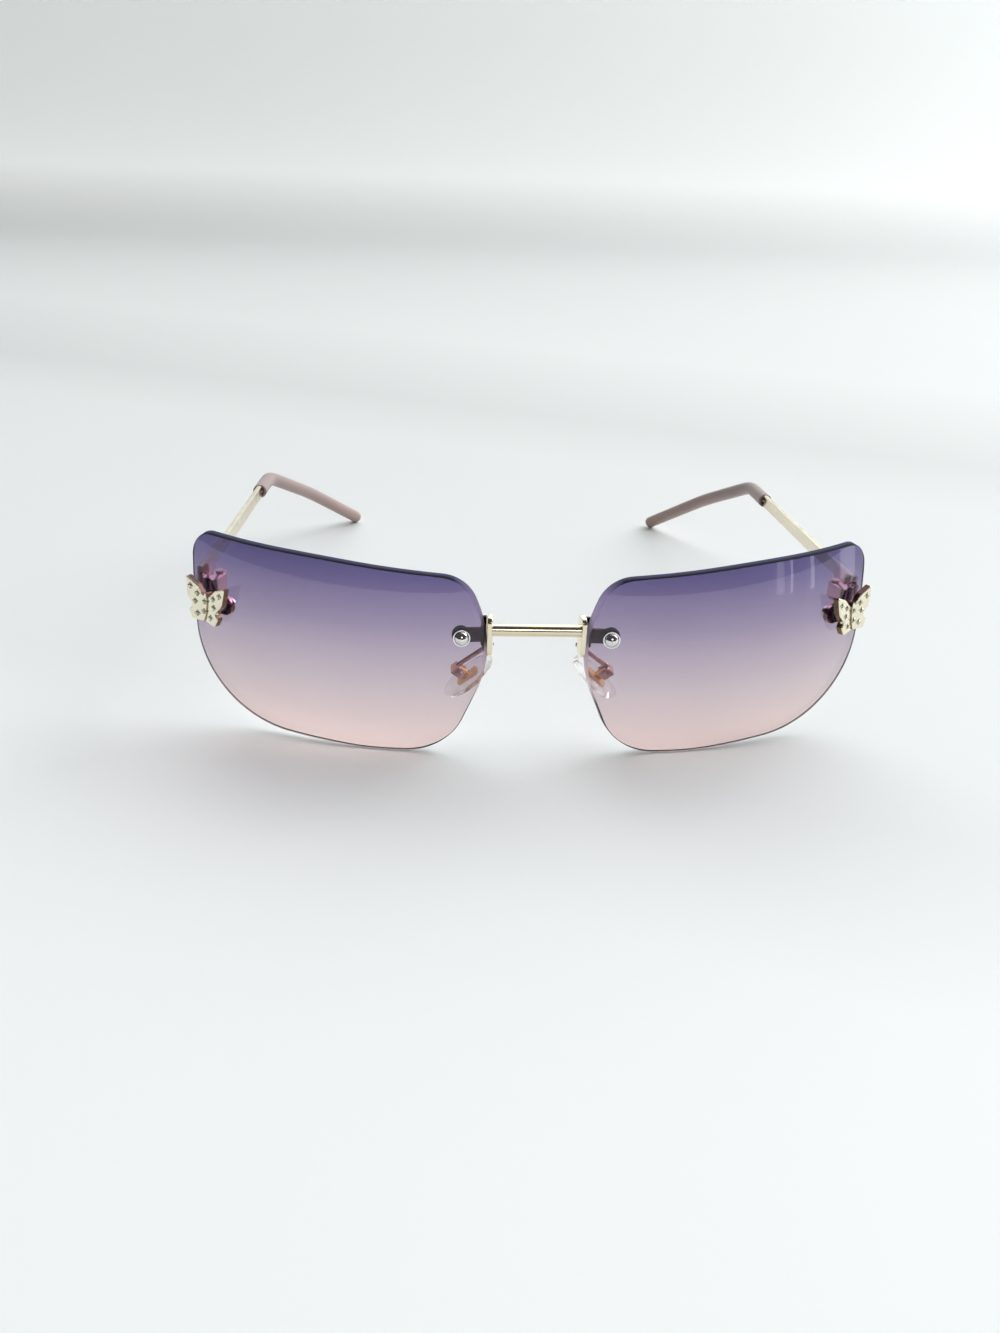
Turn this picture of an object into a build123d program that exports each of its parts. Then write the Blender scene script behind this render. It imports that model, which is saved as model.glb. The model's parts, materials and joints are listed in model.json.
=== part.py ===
from build123d import *

import os
from math import cos, radians, sin, sqrt, tan

# Rimless sunglasses with a butterfly on the outer end of each lens, opened and standing on the
# lower edges of the lenses and the ends of the temple tips. The front looks along -Y and +Z is
# up. The origin lies under the middle of the whole object, on the surface that it stands on.
# Left is the wearer's left, +X. Every paired piece is drawn on the left and mirrored.

# Lenses
lens_width = 63.8
lens_height = 43.4
lens_radius = 88.0
lens_thickness = 2.0
lens_inner_x = 11.59
wrap_angle = 13.3
tilt_angle = 1.4
lens_bevel = 0.2

# Lens outline, from the lens' middle point: shares of its width and height. The corner shares
# are how much of the shorter side beside a corner its round takes up.
inner_top_shares = (-0.404, 0.4175)
top_shares = (0.0655, 0.4765)
outer_top_shares = (0.521, 0.4968)
outer_bottom_shares = (0.503, -0.431)
bottom_shares = (-0.079, -0.501)
inner_bottom_shares = (-0.3495, -0.4935)
nasal_shares = (-0.5075, 0.0685)
corner_shares = (0.2956, 0.2364, 0.175, 0.536, 0.204, 0.535, 0.6424)

# Fits
sleeve_fit = 0.02
running_fit = 0.04
seat_gap = 0.05
cut_overrun = 1.0

# Screws, sleeves and nuts in the lenses
lens_hole_radius = 0.95
screw_radius = 0.55
flange_radius = 1.8
flange_thickness = 0.3
nut_radius = 1.5
nut_height = 1.15
nut_edge_radius = 0.45

# Bridge
bridge_screw_inset = 4.62
bridge_screw_up = 6.1
dome_radius = 1.55
dome_height = 1.4
dome_rim_radius = 1.75
dome_rim_height = 0.25
tab_height = 2.9
tab_thickness = 0.9
eye_radius = 1.85
plate_height = 8.7
plate_depth = 3.8
plate_thickness = 1.0
plate_corner_radius = 1.4
plate_edge_radius = 0.2
flange_width = 2.0
flange_height = 6.2
flange_rise = 0.5
flange_corner_radius = 0.6
plate_toe_angle = 7.0
plate_up = 6.1
plate_back_reach = 1.5
bar_radius = 1.3
bar_rise = 1.17
bar_setback = -0.2

# Nose pads
pad_length = 13.5
pad_width = 6.6
pad_thickness = 2.2
pad_edge_radius = 0.95
pad_x = 13.5
pad_setback = 6.5
pad_up = -6.63
pad_long_shares = (0.686, 0.185, -0.704)
pad_face_shares = (-0.73, 0.22, -0.65)
pad_axis_distance = 2.7
insert_length = 6.0
insert_width = 2.2
insert_thickness = 0.5
tang_radius = 0.9
tang_thickness = 0.8
box_length = 2.2
box_wall = 0.6
box_opening = 1.0
pad_screw_radius = 0.42
pad_head_radius = 0.85
pad_head_height = 0.45
arm_wire_radius = 0.5
arm_root_drop = 3.2
arm_joint_radius = 0.65
arm_setback = 1.6
arm_bend_radius = 1.0

# Butterfly, from the notch between its upper wings
butterfly_inset = 5.3
butterfly_up = 8.9
butterfly_turn = 5.0
butterfly_standoff = 0.5
butterfly_height = 9.0
wing_width = 5.5
wing_thickness = 1.4
wing_bevel = 0.18
wing_fold_angle = 8.0
wing_shares = (
    (0.0, 0.0),
    (0.22, 0.06),
    (0.46, 0.24),
    (1.0, 0.40),
    (0.91, -0.06),
    (0.60, -0.29),
    (0.77, -0.41),
    (0.60, -0.63),
    (0.20, -0.61),
    (0.0, -0.57),
)
wing_radius_shares = (0.11, 0.28, 0.06, 0.41, 0.055, 0.13, 0.13, 0.11)
granule_radius = 0.5
ridge_width = 1.2
ridge_length = 6.2
ridge_rise = 0.35
ridge_middle_share = -0.24
stone_radius = 0.5
stone_facets = 8
stone_seat_depth = 0.35
stone_crown_height = 0.28
stone_crown_taper = 35.0
wing_stone_shares = ((0.43, 0.03), (0.76, 0.16), (0.50, -0.17), (0.36, -0.45))
ridge_stone_shares = (-0.1, -0.34)

# Endpiece behind the lens' outer end: a threaded post and a plain pin of the butterfly hold it
post_across = -1.8
pin_across = 2.7
post_up = -2.2
endpiece_thickness = 1.0
endpiece_radius = 2.0
endpiece_edge_radius = 0.15
block_inner_across = 0.7
block_outer_across = 6.1
block_margin = 0.2
rib_radius = 0.8
rib_across = (1.5, 3.6)

# Hinge, a vertical barrel of three knuckles inside the temple
hinge_reach = 7.55
hinge_rise = 0.7
knuckle_radius = 1.25
knuckle_height = 1.05
knuckle_gap = 0.1
barrel_side_gap = 2.15
hinge_pin_radius = 0.55
hinge_head_radius = 0.95
hinge_head_height = 0.4
front_leaf_thickness = 0.5
rear_leaf_thickness = 0.7
rear_leaf_height = 2.8
rear_leaf_length = 6.0
rear_leaf_setback = 1.7

# Temples
temple_outset = 3.14
temple_lead = 0.7
temple_stop_gap = 0.2
temple_height = 3.2
temple_thickness = 1.2
temple_edge_radius = 0.3
temple_lift = 1.35
temple_drop_angle = 3.7
temple_length = 85.0
core_radius = 0.7
core_reach = 12.0

# Temple tips: a tight turn behind the ear and then a slow one
tip_radius = 1.8
tip_end_radius = 0.9
tip_lead = 15.8
tip_mouth_gap = 0.25
tip_mouth_radius = 1.25
tip_mouth_depth = 1.2
bend_inward_angle = 41.9
first_bend_angle = 31.8
second_bend_angle = 8.2
bend_run = 23.5
first_bend_radius = 13.5
second_bend_radius = 80.0


def share_point(shares, width, height):
    """Point of an outline, from shares of a width and a height."""
    return Vector(shares[0] * width, shares[1] * height)


def round_radius(before, corner, after, share):
    """Radius of a corner's round that takes up a share of the shorter side beside it."""
    first, second = corner - before, after - corner
    half_turn = radians(first.get_angle(second)) / 2
    return share * min(first.length, second.length) / tan(half_turn)


def lens_plane_at(setback, height):
    """Plane that touches the left lens' front at its middle point."""
    wrap, tilt = radians(wrap_angle), radians(tilt_angle)
    return Plane(
        origin=(lens_middle_x, setback, height),
        x_dir=(cos(wrap), sin(wrap), 0),
        z_dir=(sin(wrap) * cos(tilt), -cos(wrap) * cos(tilt), sin(tilt)),
    )


def place_on_lens(plane, across, up):
    """Plane that touches the lens' front away from its middle point, X level and outward."""
    sag = lens_radius - sqrt(lens_radius**2 - across**2 - up**2)
    foot = plane.from_local_coords(Vector(across, up, -sag))
    middle = plane.origin - plane.z_dir * lens_radius
    outward = (foot - middle).normalized()
    return Plane(origin=foot, x_dir=Vector(0, 0, 1).cross(outward), z_dir=outward)


def turn_plane(place):
    """Plane through a place's axis, for the half section of a turned piece; its Y is the axis."""
    return Plane(origin=place.origin, x_dir=place.x_dir, z_dir=-place.y_dir)


def turned_plane(plane, angle):
    """The plane turned about its own normal."""
    turn = radians(angle)
    x_dir = plane.x_dir * cos(turn) + plane.y_dir * sin(turn)
    return Plane(origin=plane.origin, x_dir=x_dir, z_dir=plane.z_dir)


def tipped_plane(plane, angle):
    """The plane tipped about its own Y, so that its X side comes forward."""
    tip = radians(angle)
    x_dir = plane.x_dir * cos(tip) + plane.z_dir * sin(tip)
    return Plane(origin=plane.origin, x_dir=x_dir, z_dir=x_dir.cross(plane.y_dir))


def axis_of(place):
    """Axis that stands on a place."""
    return Axis(place.origin, place.z_dir)


def write_pair(piece, name):
    """Write the left piece and its mirror image for the right."""
    piece.part.label = f"{name}_left"
    export_step(piece.part, f"parts/{name}_left.step")
    with BuildPart() as mirrored:
        mirror(piece.part, about=Plane.YZ)
    mirrored.part.label = f"{name}_right"
    export_step(mirrored.part, f"parts/{name}_right.step")


# Outline of the left lens, seen along its middle's normal
outline_points = [
    share_point(shares, lens_width, lens_height)
    for shares in (
        inner_top_shares,
        top_shares,
        outer_top_shares,
        outer_bottom_shares,
        bottom_shares,
        inner_bottom_shares,
        nasal_shares,
    )
]
points_before = outline_points[-1:] + outline_points[:-1]
points_after = outline_points[1:] + outline_points[:1]
outline_radii = [
    round_radius(before, corner, after, share)
    for before, corner, after, share in zip(
        points_before, outline_points, points_after, corner_shares
    )
]
with BuildSketch() as lens_outline:
    with BuildLine():
        FilletPolyline(*outline_points, radius=outline_radii, close=True)
    make_face()
outline_box = lens_outline.sketch.bounding_box()
nasal_across = outline_box.min.X
lens_middle_x = lens_inner_x - nasal_across * cos(radians(wrap_angle))
bridge_screw_across = nasal_across + bridge_screw_inset
butterfly_across = outline_box.max.X - butterfly_inset

# How high the lens' middle stands, when its lower edge touches the surface
lens_bottom = -outline_box.min.Y
bottom_middle = (bottom_shares[0] + inner_bottom_shares[0]) / 2 * lens_width
bottom_sag = lens_radius - sqrt(
    (lens_radius - lens_thickness) ** 2 - lens_bottom**2 - bottom_middle**2
)
lens_middle_height = lens_bottom * cos(radians(tilt_angle)) + bottom_sag * sin(radians(tilt_angle))

# The hinge stands behind the butterfly, first with the lens' middle at Y = 0
middle_plane = lens_plane_at(0, lens_middle_height)
butterfly_foot = place_on_lens(middle_plane, butterfly_across, butterfly_up).origin
hinge_y = butterfly_foot.Y + hinge_reach
hinge_height = butterfly_foot.Z + hinge_rise
temple_x = butterfly_foot.X + temple_outset

# The temple's line, from the hinge backward
temple_direction = Vector(0, cos(radians(temple_drop_angle)), -sin(radians(temple_drop_angle)))
bend_side = Vector(-sin(radians(bend_inward_angle)), 0, -cos(radians(bend_inward_angle)))
bend_side = (bend_side - temple_direction * bend_side.dot(temple_direction)).normalized()


def turned(angle):
    """Direction of the temple after a turn down and inward."""
    return temple_direction * cos(radians(angle)) + bend_side * sin(radians(angle))


mid_direction = turned(first_bend_angle)
end_direction = turned(first_bend_angle + second_bend_angle)
temple_origin = Vector(temple_x, hinge_y, hinge_height + temple_lift)
first_corner = temple_origin + temple_direction * temple_length
second_corner = first_corner + mid_direction * bend_run
end_ring_radius = tip_radius - tip_end_radius
end_height = end_ring_radius * sqrt(1 - end_direction.Z**2) + tip_end_radius * (
    1 + end_direction.Z
)
tip_end = second_corner + end_direction * ((end_height - second_corner.Z) / end_direction.Z)

# The whole depth is centred on the origin
dome_place = place_on_lens(middle_plane, bridge_screw_across, bridge_screw_up)
front_reach = dome_place.origin.Y - dome_height
rear_reach = (
    tip_end.Y
    + end_ring_radius * sqrt(1 - end_direction.Y**2)
    + tip_end_radius * (1 - end_direction.Y)
)
front_y = -(front_reach + rear_reach) / 2
hinge_y += front_y
temple_origin += Vector(0, front_y, 0)
first_corner += Vector(0, front_y, 0)
second_corner += Vector(0, front_y, 0)
tip_end += Vector(0, front_y, 0)
tip_start = first_corner - temple_direction * tip_lead

os.makedirs("parts", exist_ok=True)

# Planes that the pieces share
lens_plane = lens_plane_at(front_y, lens_middle_height)
lens_ball_middle = lens_plane.origin - lens_plane.z_dir * lens_radius
bridge_place = place_on_lens(lens_plane, bridge_screw_across, bridge_screw_up)
butterfly_place = place_on_lens(lens_plane, butterfly_across, butterfly_up)
post_place = Plane(
    origin=butterfly_place.from_local_coords((post_across, post_up, 0)),
    x_dir=butterfly_place.x_dir,
    z_dir=butterfly_place.z_dir,
)
pin_place = Plane(
    origin=butterfly_place.from_local_coords((pin_across, post_up, 0)),
    x_dir=butterfly_place.x_dir,
    z_dir=butterfly_place.z_dir,
)


def seat_depth(across, up):
    """Depth behind a place's plane at which a flange clears the lens' curved back."""
    reach = sqrt(across**2 + up**2) + flange_radius
    back_sag = lens_radius - sqrt((lens_radius - lens_thickness) ** 2 - reach**2)
    return back_sag + seat_gap


bridge_seat = seat_depth(0, 0)
outer_seat = seat_depth(max(-post_across, pin_across), post_up)
bridge_metal = bridge_seat + flange_thickness
outer_metal = outer_seat + flange_thickness

# Lens: a ball shell cut to the outline, with one inner and two outer holes
with BuildPart() as lens:
    with BuildSketch(lens_plane.offset(cut_overrun)):
        add(lens_outline.sketch)
    edge_depth = lens_radius - sqrt(lens_radius**2 - (lens_width**2 + lens_height**2) / 4)
    extrude(amount=-(edge_depth + lens_thickness + 2 * cut_overrun))
    with Locations(lens_ball_middle):
        Sphere(lens_radius, mode=Mode.INTERSECT)
        Sphere(lens_radius - lens_thickness, mode=Mode.SUBTRACT)
    ball_faces = lens.faces().filter_by(GeomType.SPHERE)
    chamfer([edge for face in ball_faces for edge in face.outer_wire().edges()], lens_bevel)
    for place in (bridge_place, post_place, pin_place):
        with BuildSketch(place.offset(cut_overrun)):
            Circle(lens_hole_radius)
        extrude(amount=-(lens_thickness + 2 * cut_overrun), mode=Mode.SUBTRACT)
write_pair(lens, "lens")

# Bridge plate: it stands beside the lens' inner edge, and its tab lies behind the lens
nasal_up = nasal_shares[1] * lens_height
nasal_sag = lens_radius - sqrt(
    (lens_radius - lens_thickness) ** 2 - nasal_across**2 - nasal_up**2
)
lens_corner = lens_plane.from_local_coords((nasal_across, plate_up, -nasal_sag))
toe = radians(plate_toe_angle)
plate_plane = Plane(
    origin=lens_corner,
    x_dir=(sin(toe), -cos(toe), 0),
    z_dir=(-cos(toe), -sin(toe), 0),
)
with BuildPart() as bridge_plate:
    with BuildSketch(plate_plane.offset(seat_gap)):
        with Locations((plate_depth / 2 - plate_back_reach, 0)):
            RectangleRounded(plate_depth, plate_height, plate_corner_radius)
    extrude(amount=plate_thickness)
    fillet(edges().group_by(Axis.X)[0] + edges().group_by(Axis.X)[-1], plate_edge_radius)
    plate_middle = bridge_place.to_local_coords(
        plate_plane.from_local_coords((0, 0, seat_gap + plate_thickness / 2))
    )
    tab_reach = plate_middle.X
    with BuildSketch(bridge_place.offset(-bridge_metal)):
        with Locations((tab_reach + flange_width / 2, plate_middle.Y + flange_rise)):
            RectangleRounded(flange_width, flange_height, flange_corner_radius)
        with Locations((tab_reach / 2, 0)):
            Rectangle(-tab_reach, tab_height)
        Circle(eye_radius)
        Circle(screw_radius + sleeve_fit, mode=Mode.SUBTRACT)
    extrude(amount=-tab_thickness)
write_pair(bridge_plate, "bridge_plate")

# Bridge rod, cut by the plates' inner faces
plate_inner_face = plate_plane.offset(seat_gap + plate_thickness)
bar_middle = Vector(0, front_y + bar_setback, bridge_place.origin.Z + bar_rise)
with BuildPart() as bridge_bar:
    with BuildSketch(Plane(origin=bar_middle, z_dir=(1, 0, 0))):
        Circle(bar_radius)
    extrude(amount=lens_middle_x)
    split(bisect_by=plate_inner_face, keep=Keep.TOP)
    mirror(about=Plane.YZ)
bridge_bar.part.label = "bridge_bar"
export_step(bridge_bar.part, "parts/bridge_bar.step")

# Screw with a domed head, its plastic sleeve and its nut
bridge_stack = bridge_metal + tab_thickness + nut_height
dome_rise = dome_height - dome_rim_height
dome_ball_radius = (dome_radius**2 + dome_rise**2) / (2 * dome_rise)
with BuildPart() as bridge_screw:
    with BuildSketch(turn_plane(bridge_place)):
        with BuildLine():
            Polyline(
                (0, -bridge_stack),
                (screw_radius, -bridge_stack),
                (screw_radius, 0),
                (dome_rim_radius, 0),
                (dome_rim_radius, dome_rim_height),
                (dome_radius, dome_rim_height),
            )
            RadiusArc((dome_radius, dome_rim_height), (0, dome_height), -dome_ball_radius)
            Line((0, dome_height), (0, -bridge_stack))
        make_face()
    revolve(axis=axis_of(bridge_place))
write_pair(bridge_screw, "bridge_screw")


def bushes_at(seat, *places):
    """Flanged plastic sleeves in lens holes; each flange lies between lens and metal."""
    inner, outer = screw_radius + sleeve_fit, lens_hole_radius - sleeve_fit
    with BuildPart() as bushes:
        for place in places:
            with BuildSketch(place.offset(-seat_gap)):
                Circle(outer)
                Circle(inner, mode=Mode.SUBTRACT)
            extrude(amount=-(seat + flange_thickness - seat_gap))
            with BuildSketch(place.offset(-seat)):
                Circle(flange_radius)
                Circle(inner, mode=Mode.SUBTRACT)
            extrude(amount=-flange_thickness)
    return bushes


def nut_at(place, metal_back):
    """Domed nut behind the metal, round a threaded post."""
    with BuildPart() as nut:
        with BuildSketch(place.offset(-metal_back)):
            Circle(nut_radius)
            Circle(screw_radius + sleeve_fit, mode=Mode.SUBTRACT)
        extrude(amount=-nut_height)
        back_rims = edges().group_by(axis_of(place))[0]
        fillet(back_rims.sort_by(SortBy.RADIUS)[-1], nut_edge_radius)
    return nut


write_pair(bushes_at(bridge_seat, bridge_place), "bridge_bush")
write_pair(nut_at(bridge_place, bridge_metal + tab_thickness), "bridge_nut")

# Nose pad, its metal core, and the screw that it rocks on
pad_long = Vector(*pad_long_shares).normalized()
pad_across = Vector(*pad_face_shares).cross(pad_long).normalized()
pad_face = pad_long.cross(pad_across)
pad_middle = Vector(pad_x, front_y + pad_setback, lens_middle_height + pad_up)
pad_plane = Plane(origin=pad_middle, x_dir=pad_long, z_dir=pad_face)
rock_plane = Plane(
    origin=pad_middle - pad_face * pad_axis_distance, x_dir=pad_long, z_dir=pad_across
)
with BuildPart() as pad_insert:
    with BuildSketch(pad_plane):
        SlotOverall(insert_length, insert_width)
    extrude(amount=insert_thickness / 2, both=True)
    with BuildSketch(rock_plane):
        Circle(tang_radius)
        with Locations((0, -pad_axis_distance / 2)):
            Rectangle(2 * tang_radius, pad_axis_distance)
        Circle(pad_screw_radius + running_fit, mode=Mode.SUBTRACT)
    extrude(amount=tang_thickness / 2, both=True)
write_pair(pad_insert, "pad_insert")

with BuildPart() as nose_pad:
    with BuildSketch(pad_plane):
        Ellipse(pad_length / 2, pad_width / 2)
    extrude(amount=pad_thickness / 2, both=True)
    fillet(edges(), pad_edge_radius)
    add(pad_insert.part, mode=Mode.SUBTRACT)
write_pair(nose_pad, "nose_pad")

box_depth = 2 * box_opening + box_wall
box_half_width = tang_thickness / 2 + running_fit + box_wall
with BuildPart() as pad_screw:
    with BuildSketch(rock_plane.offset(-box_half_width)):
        Circle(pad_screw_radius)
    extrude(amount=2 * box_half_width)
    with BuildSketch(rock_plane.offset(box_half_width)):
        Circle(pad_head_radius)
    extrude(amount=pad_head_height)
write_pair(pad_screw, "pad_screw")

# Pad arm: a wire from the bridge plate, and the box that holds the pad's tang
arm_root = plate_plane.from_local_coords(
    (-plate_back_reach, -arm_root_drop, seat_gap + plate_thickness / 2)
)
arm_bend = arm_root - plate_plane.x_dir * arm_setback
arm_end = rock_plane.from_local_coords((-box_length / 3, box_opening + box_wall / 2, 0))
arm_joint = arm_root - plate_plane.x_dir * arm_joint_radius
with BuildPart() as pad_arm:
    with BuildLine() as arm_line:
        FilletPolyline(arm_root, arm_bend, arm_end, radius=arm_bend_radius)
    with BuildSketch(Plane(origin=arm_root, z_dir=-plate_plane.x_dir)):
        Circle(arm_wire_radius)
    sweep(path=arm_line.line)
    with Locations(arm_joint):
        Sphere(arm_joint_radius)
    with BuildSketch(rock_plane):
        with Locations((0, box_wall / 2)):
            RectangleRounded(box_length, box_depth, box_wall / 2)
    extrude(amount=box_half_width, both=True)
    with BuildSketch(rock_plane):
        with Locations((0, box_opening)):
            Rectangle(
                box_length + 2 * arm_wire_radius + cut_overrun,
                2 * box_depth,
                align=(Align.CENTER, Align.MAX),
            )
    extrude(amount=tang_thickness / 2 + running_fit, both=True, mode=Mode.SUBTRACT)
    with BuildSketch(rock_plane):
        Circle(pad_screw_radius + sleeve_fit)
    extrude(amount=box_half_width + cut_overrun, both=True, mode=Mode.SUBTRACT)
write_pair(pad_arm, "pad_arm")

# Butterfly: two wings folded a little forward, a ridge, granules, posts and seats for the stones
butterfly_plane = turned_plane(butterfly_place.offset(butterfly_standoff), butterfly_turn)
outer_wing_plane = tipped_plane(butterfly_plane, wing_fold_angle)
inner_wing_plane = tipped_plane(butterfly_plane, -wing_fold_angle)
body_mirror = Plane(
    origin=butterfly_plane.origin, x_dir=butterfly_plane.y_dir, z_dir=butterfly_plane.x_dir
)
wing_points = [share_point(shares, wing_width, butterfly_height) for shares in wing_shares]
wing_radii = [share * wing_width for share in wing_radius_shares]
waist = share_point(wing_shares[5], wing_width, butterfly_height)
outer_stones = [share_point(shares, wing_width, butterfly_height) for shares in wing_stone_shares]
inner_stones = [Vector(-place.X, place.Y) for place in outer_stones]
ridge_stones = [Vector(0, share * butterfly_height) for share in ridge_stone_shares]
ridge_top = wing_thickness + ridge_rise
stone_settings = (
    (outer_wing_plane.offset(wing_thickness), outer_stones),
    (inner_wing_plane.offset(wing_thickness), inner_stones),
    (butterfly_plane.offset(ridge_top), ridge_stones),
)
post_length = outer_metal + endpiece_thickness + nut_height
pin_length = outer_metal + endpiece_thickness
collar_top = butterfly_standoff + wing_thickness / 2

with BuildPart() as butterfly:
    with BuildSketch(outer_wing_plane):
        with BuildLine():
            FilletPolyline(*wing_points, radius=wing_radii)
            Line(wing_points[-1], wing_points[0])
        make_face()
    extrude(amount=wing_thickness)
    front_edges = edges().group_by(axis_of(outer_wing_plane))[-1]
    rim = [e for e in front_edges if outer_wing_plane.to_local_coords(e.center()).X > wing_bevel]
    chamfer(rim, wing_bevel)
    granule = outer_wing_plane.from_local_coords((waist.X, waist.Y, wing_thickness / 2))
    with Locations(granule):
        Sphere(granule_radius)
    mirror(about=body_mirror)
    with BuildSketch(butterfly_plane):
        with Locations((0, ridge_middle_share * butterfly_height)):
            Ellipse(ridge_width / 2, ridge_length / 2)
    extrude(amount=ridge_top)
    for surface, places in stone_settings:
        with BuildSketch(surface.offset(-stone_seat_depth)):
            with Locations(*places):
                Circle(stone_radius)
        extrude(amount=stone_seat_depth + cut_overrun, mode=Mode.SUBTRACT)
    for place, length in ((post_place, post_length), (pin_place, pin_length)):
        with BuildSketch(place):
            Circle(lens_hole_radius)
        extrude(amount=collar_top)
        with BuildSketch(place):
            Circle(screw_radius)
        extrude(amount=-length)
write_pair(butterfly, "butterfly")

with BuildPart() as butterfly_stones:
    for surface, places in stone_settings:
        with BuildSketch(surface.offset(-stone_seat_depth)):
            with Locations(*places):
                RegularPolygon(stone_radius - sleeve_fit, stone_facets)
        extrude(amount=stone_seat_depth)
        with BuildSketch(surface):
            with Locations(*places):
                RegularPolygon(stone_radius - sleeve_fit, stone_facets)
        extrude(amount=stone_crown_height, taper=stone_crown_taper)
write_pair(butterfly_stones, "butterfly_stones")

# Hinge places
barrel_height = 3 * knuckle_height + 2 * knuckle_gap
barrel_bottom = hinge_height - barrel_height / 2
temple_inner_x = temple_x - temple_thickness / 2
hinge_x = temple_inner_x - barrel_side_gap - knuckle_radius
leaf_front_y = hinge_y - knuckle_radius - front_leaf_thickness
stop_y = hinge_y - temple_lead
middle_bottom = barrel_bottom + knuckle_height + knuckle_gap

# Endpiece: a plate behind the lens, and a ribbed block that carries the hinge and stops the temple
plate_back = outer_metal + endpiece_thickness
with BuildPart() as endpiece:
    with BuildSketch(post_place.offset(-outer_metal)):
        with Locations(((pin_across - post_across) / 2, 0)):
            SlotCenterToCenter(pin_across - post_across, 2 * endpiece_radius)
    extrude(amount=-endpiece_thickness)
    fillet(edges().group_by(axis_of(post_place))[0], endpiece_edge_radius)
    block_depth = -(outer_metal + endpiece_thickness / 2)
    inner_front = butterfly_place.from_local_coords((block_inner_across, 0, block_depth))
    outer_front = butterfly_place.from_local_coords((block_outer_across, 0, block_depth))
    rib_foot = inner_front.Z
    rib_middles = [
        butterfly_place.from_local_coords((across, 0, -(outer_metal + rib_radius)))
        for across in rib_across
    ]
    with BuildSketch(Plane.XY.offset(barrel_bottom)):
        with BuildLine():
            Polyline(
                (inner_front.X, inner_front.Y),
                (hinge_x - knuckle_radius, leaf_front_y),
                (temple_inner_x - block_margin, leaf_front_y),
                (temple_inner_x - block_margin, stop_y),
                (temple_x + temple_thickness / 2 + block_margin, stop_y),
                (outer_front.X, outer_front.Y),
                close=True,
            )
        make_face()
    extrude(amount=barrel_height)
    with BuildSketch(Plane.XY.offset(rib_foot)):
        with Locations(*[(middle.X, middle.Y) for middle in rib_middles]):
            Circle(rib_radius)
    extrude(amount=barrel_bottom + barrel_height - rib_foot)
    for place in (post_place, pin_place):
        with BuildSketch(place):
            Circle(screw_radius + sleeve_fit)
        extrude(amount=-(plate_back + endpiece_thickness), mode=Mode.SUBTRACT)
write_pair(endpiece, "endpiece")

write_pair(bushes_at(outer_seat, post_place, pin_place), "endpiece_bushes")
write_pair(nut_at(post_place, plate_back), "endpiece_nut")

# Front hinge leaf: two knuckles on the endpiece's block, with room for the temple's between them
with BuildPart() as hinge_front:
    with BuildSketch(Plane.XY.offset(barrel_bottom)):
        with Locations((hinge_x, hinge_y)):
            Circle(knuckle_radius)
            Rectangle(
                2 * knuckle_radius,
                hinge_y - leaf_front_y,
                align=(Align.CENTER, Align.MAX),
            )
    extrude(amount=barrel_height)
    with BuildSketch(Plane.XY.offset(barrel_bottom + knuckle_height)):
        with Locations((hinge_x, hinge_y)):
            Circle(knuckle_radius + knuckle_gap)
    extrude(amount=knuckle_height + 2 * knuckle_gap, mode=Mode.SUBTRACT)
    with BuildSketch(Plane.XY.offset(barrel_bottom)):
        with Locations((hinge_x, hinge_y)):
            Circle(hinge_pin_radius + sleeve_fit)
    extrude(amount=barrel_height, mode=Mode.SUBTRACT)
write_pair(hinge_front, "hinge_front")

with BuildPart() as hinge_screw:
    with BuildSketch(Plane.XY.offset(barrel_bottom)):
        with Locations((hinge_x, hinge_y)):
            Circle(hinge_pin_radius)
    extrude(amount=barrel_height)
    with BuildSketch(Plane.XY.offset(barrel_bottom + barrel_height)):
        with Locations((hinge_x, hinge_y)):
            Circle(hinge_head_radius)
    extrude(amount=hinge_head_height)
write_pair(hinge_screw, "hinge_screw")

# Rear hinge leaf: one knuckle and a strip that lies on the temple's inner face
inner_face = Plane(
    origin=temple_origin - Vector(temple_thickness / 2, 0, 0),
    x_dir=temple_direction,
    z_dir=(-1, 0, 0),
)
with BuildPart() as hinge_rear:
    with BuildSketch(inner_face):
        with Locations((rear_leaf_setback + rear_leaf_length / 2, 0)):
            Rectangle(rear_leaf_length, rear_leaf_height)
    extrude(amount=rear_leaf_thickness)
    with BuildSketch(Plane.XY.offset(middle_bottom)):
        with Locations((hinge_x, hinge_y)):
            Circle(knuckle_radius)
        with Locations((temple_inner_x, hinge_y)):
            Rectangle(
                temple_inner_x - hinge_x,
                rear_leaf_setback + rear_leaf_thickness,
                align=(Align.MAX, Align.MIN),
            )
        with Locations((hinge_x, hinge_y)):
            Circle(hinge_pin_radius + running_fit, mode=Mode.SUBTRACT)
    extrude(amount=knuckle_height)
write_pair(hinge_rear, "hinge_rear")

# Temple: a flat strip, and the core wire that runs into the tip
strip_start = temple_origin - temple_direction * (temple_lead - temple_stop_gap)
strip_end = tip_start - temple_direction * tip_mouth_gap
core_end = first_corner + mid_direction * core_reach
with BuildPart() as temple:
    with BuildSketch(Plane(origin=strip_start, x_dir=(1, 0, 0), z_dir=temple_direction)):
        RectangleRounded(temple_thickness, temple_height, temple_edge_radius)
    extrude(amount=(strip_end - strip_start).length)
    with BuildLine() as core_line:
        FilletPolyline(strip_end, first_corner, core_end, radius=first_bend_radius)
    with BuildSketch(Plane(origin=strip_end, x_dir=(1, 0, 0), z_dir=temple_direction)):
        Circle(core_radius)
    sweep(path=core_line.line)
write_pair(temple, "temple")

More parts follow.
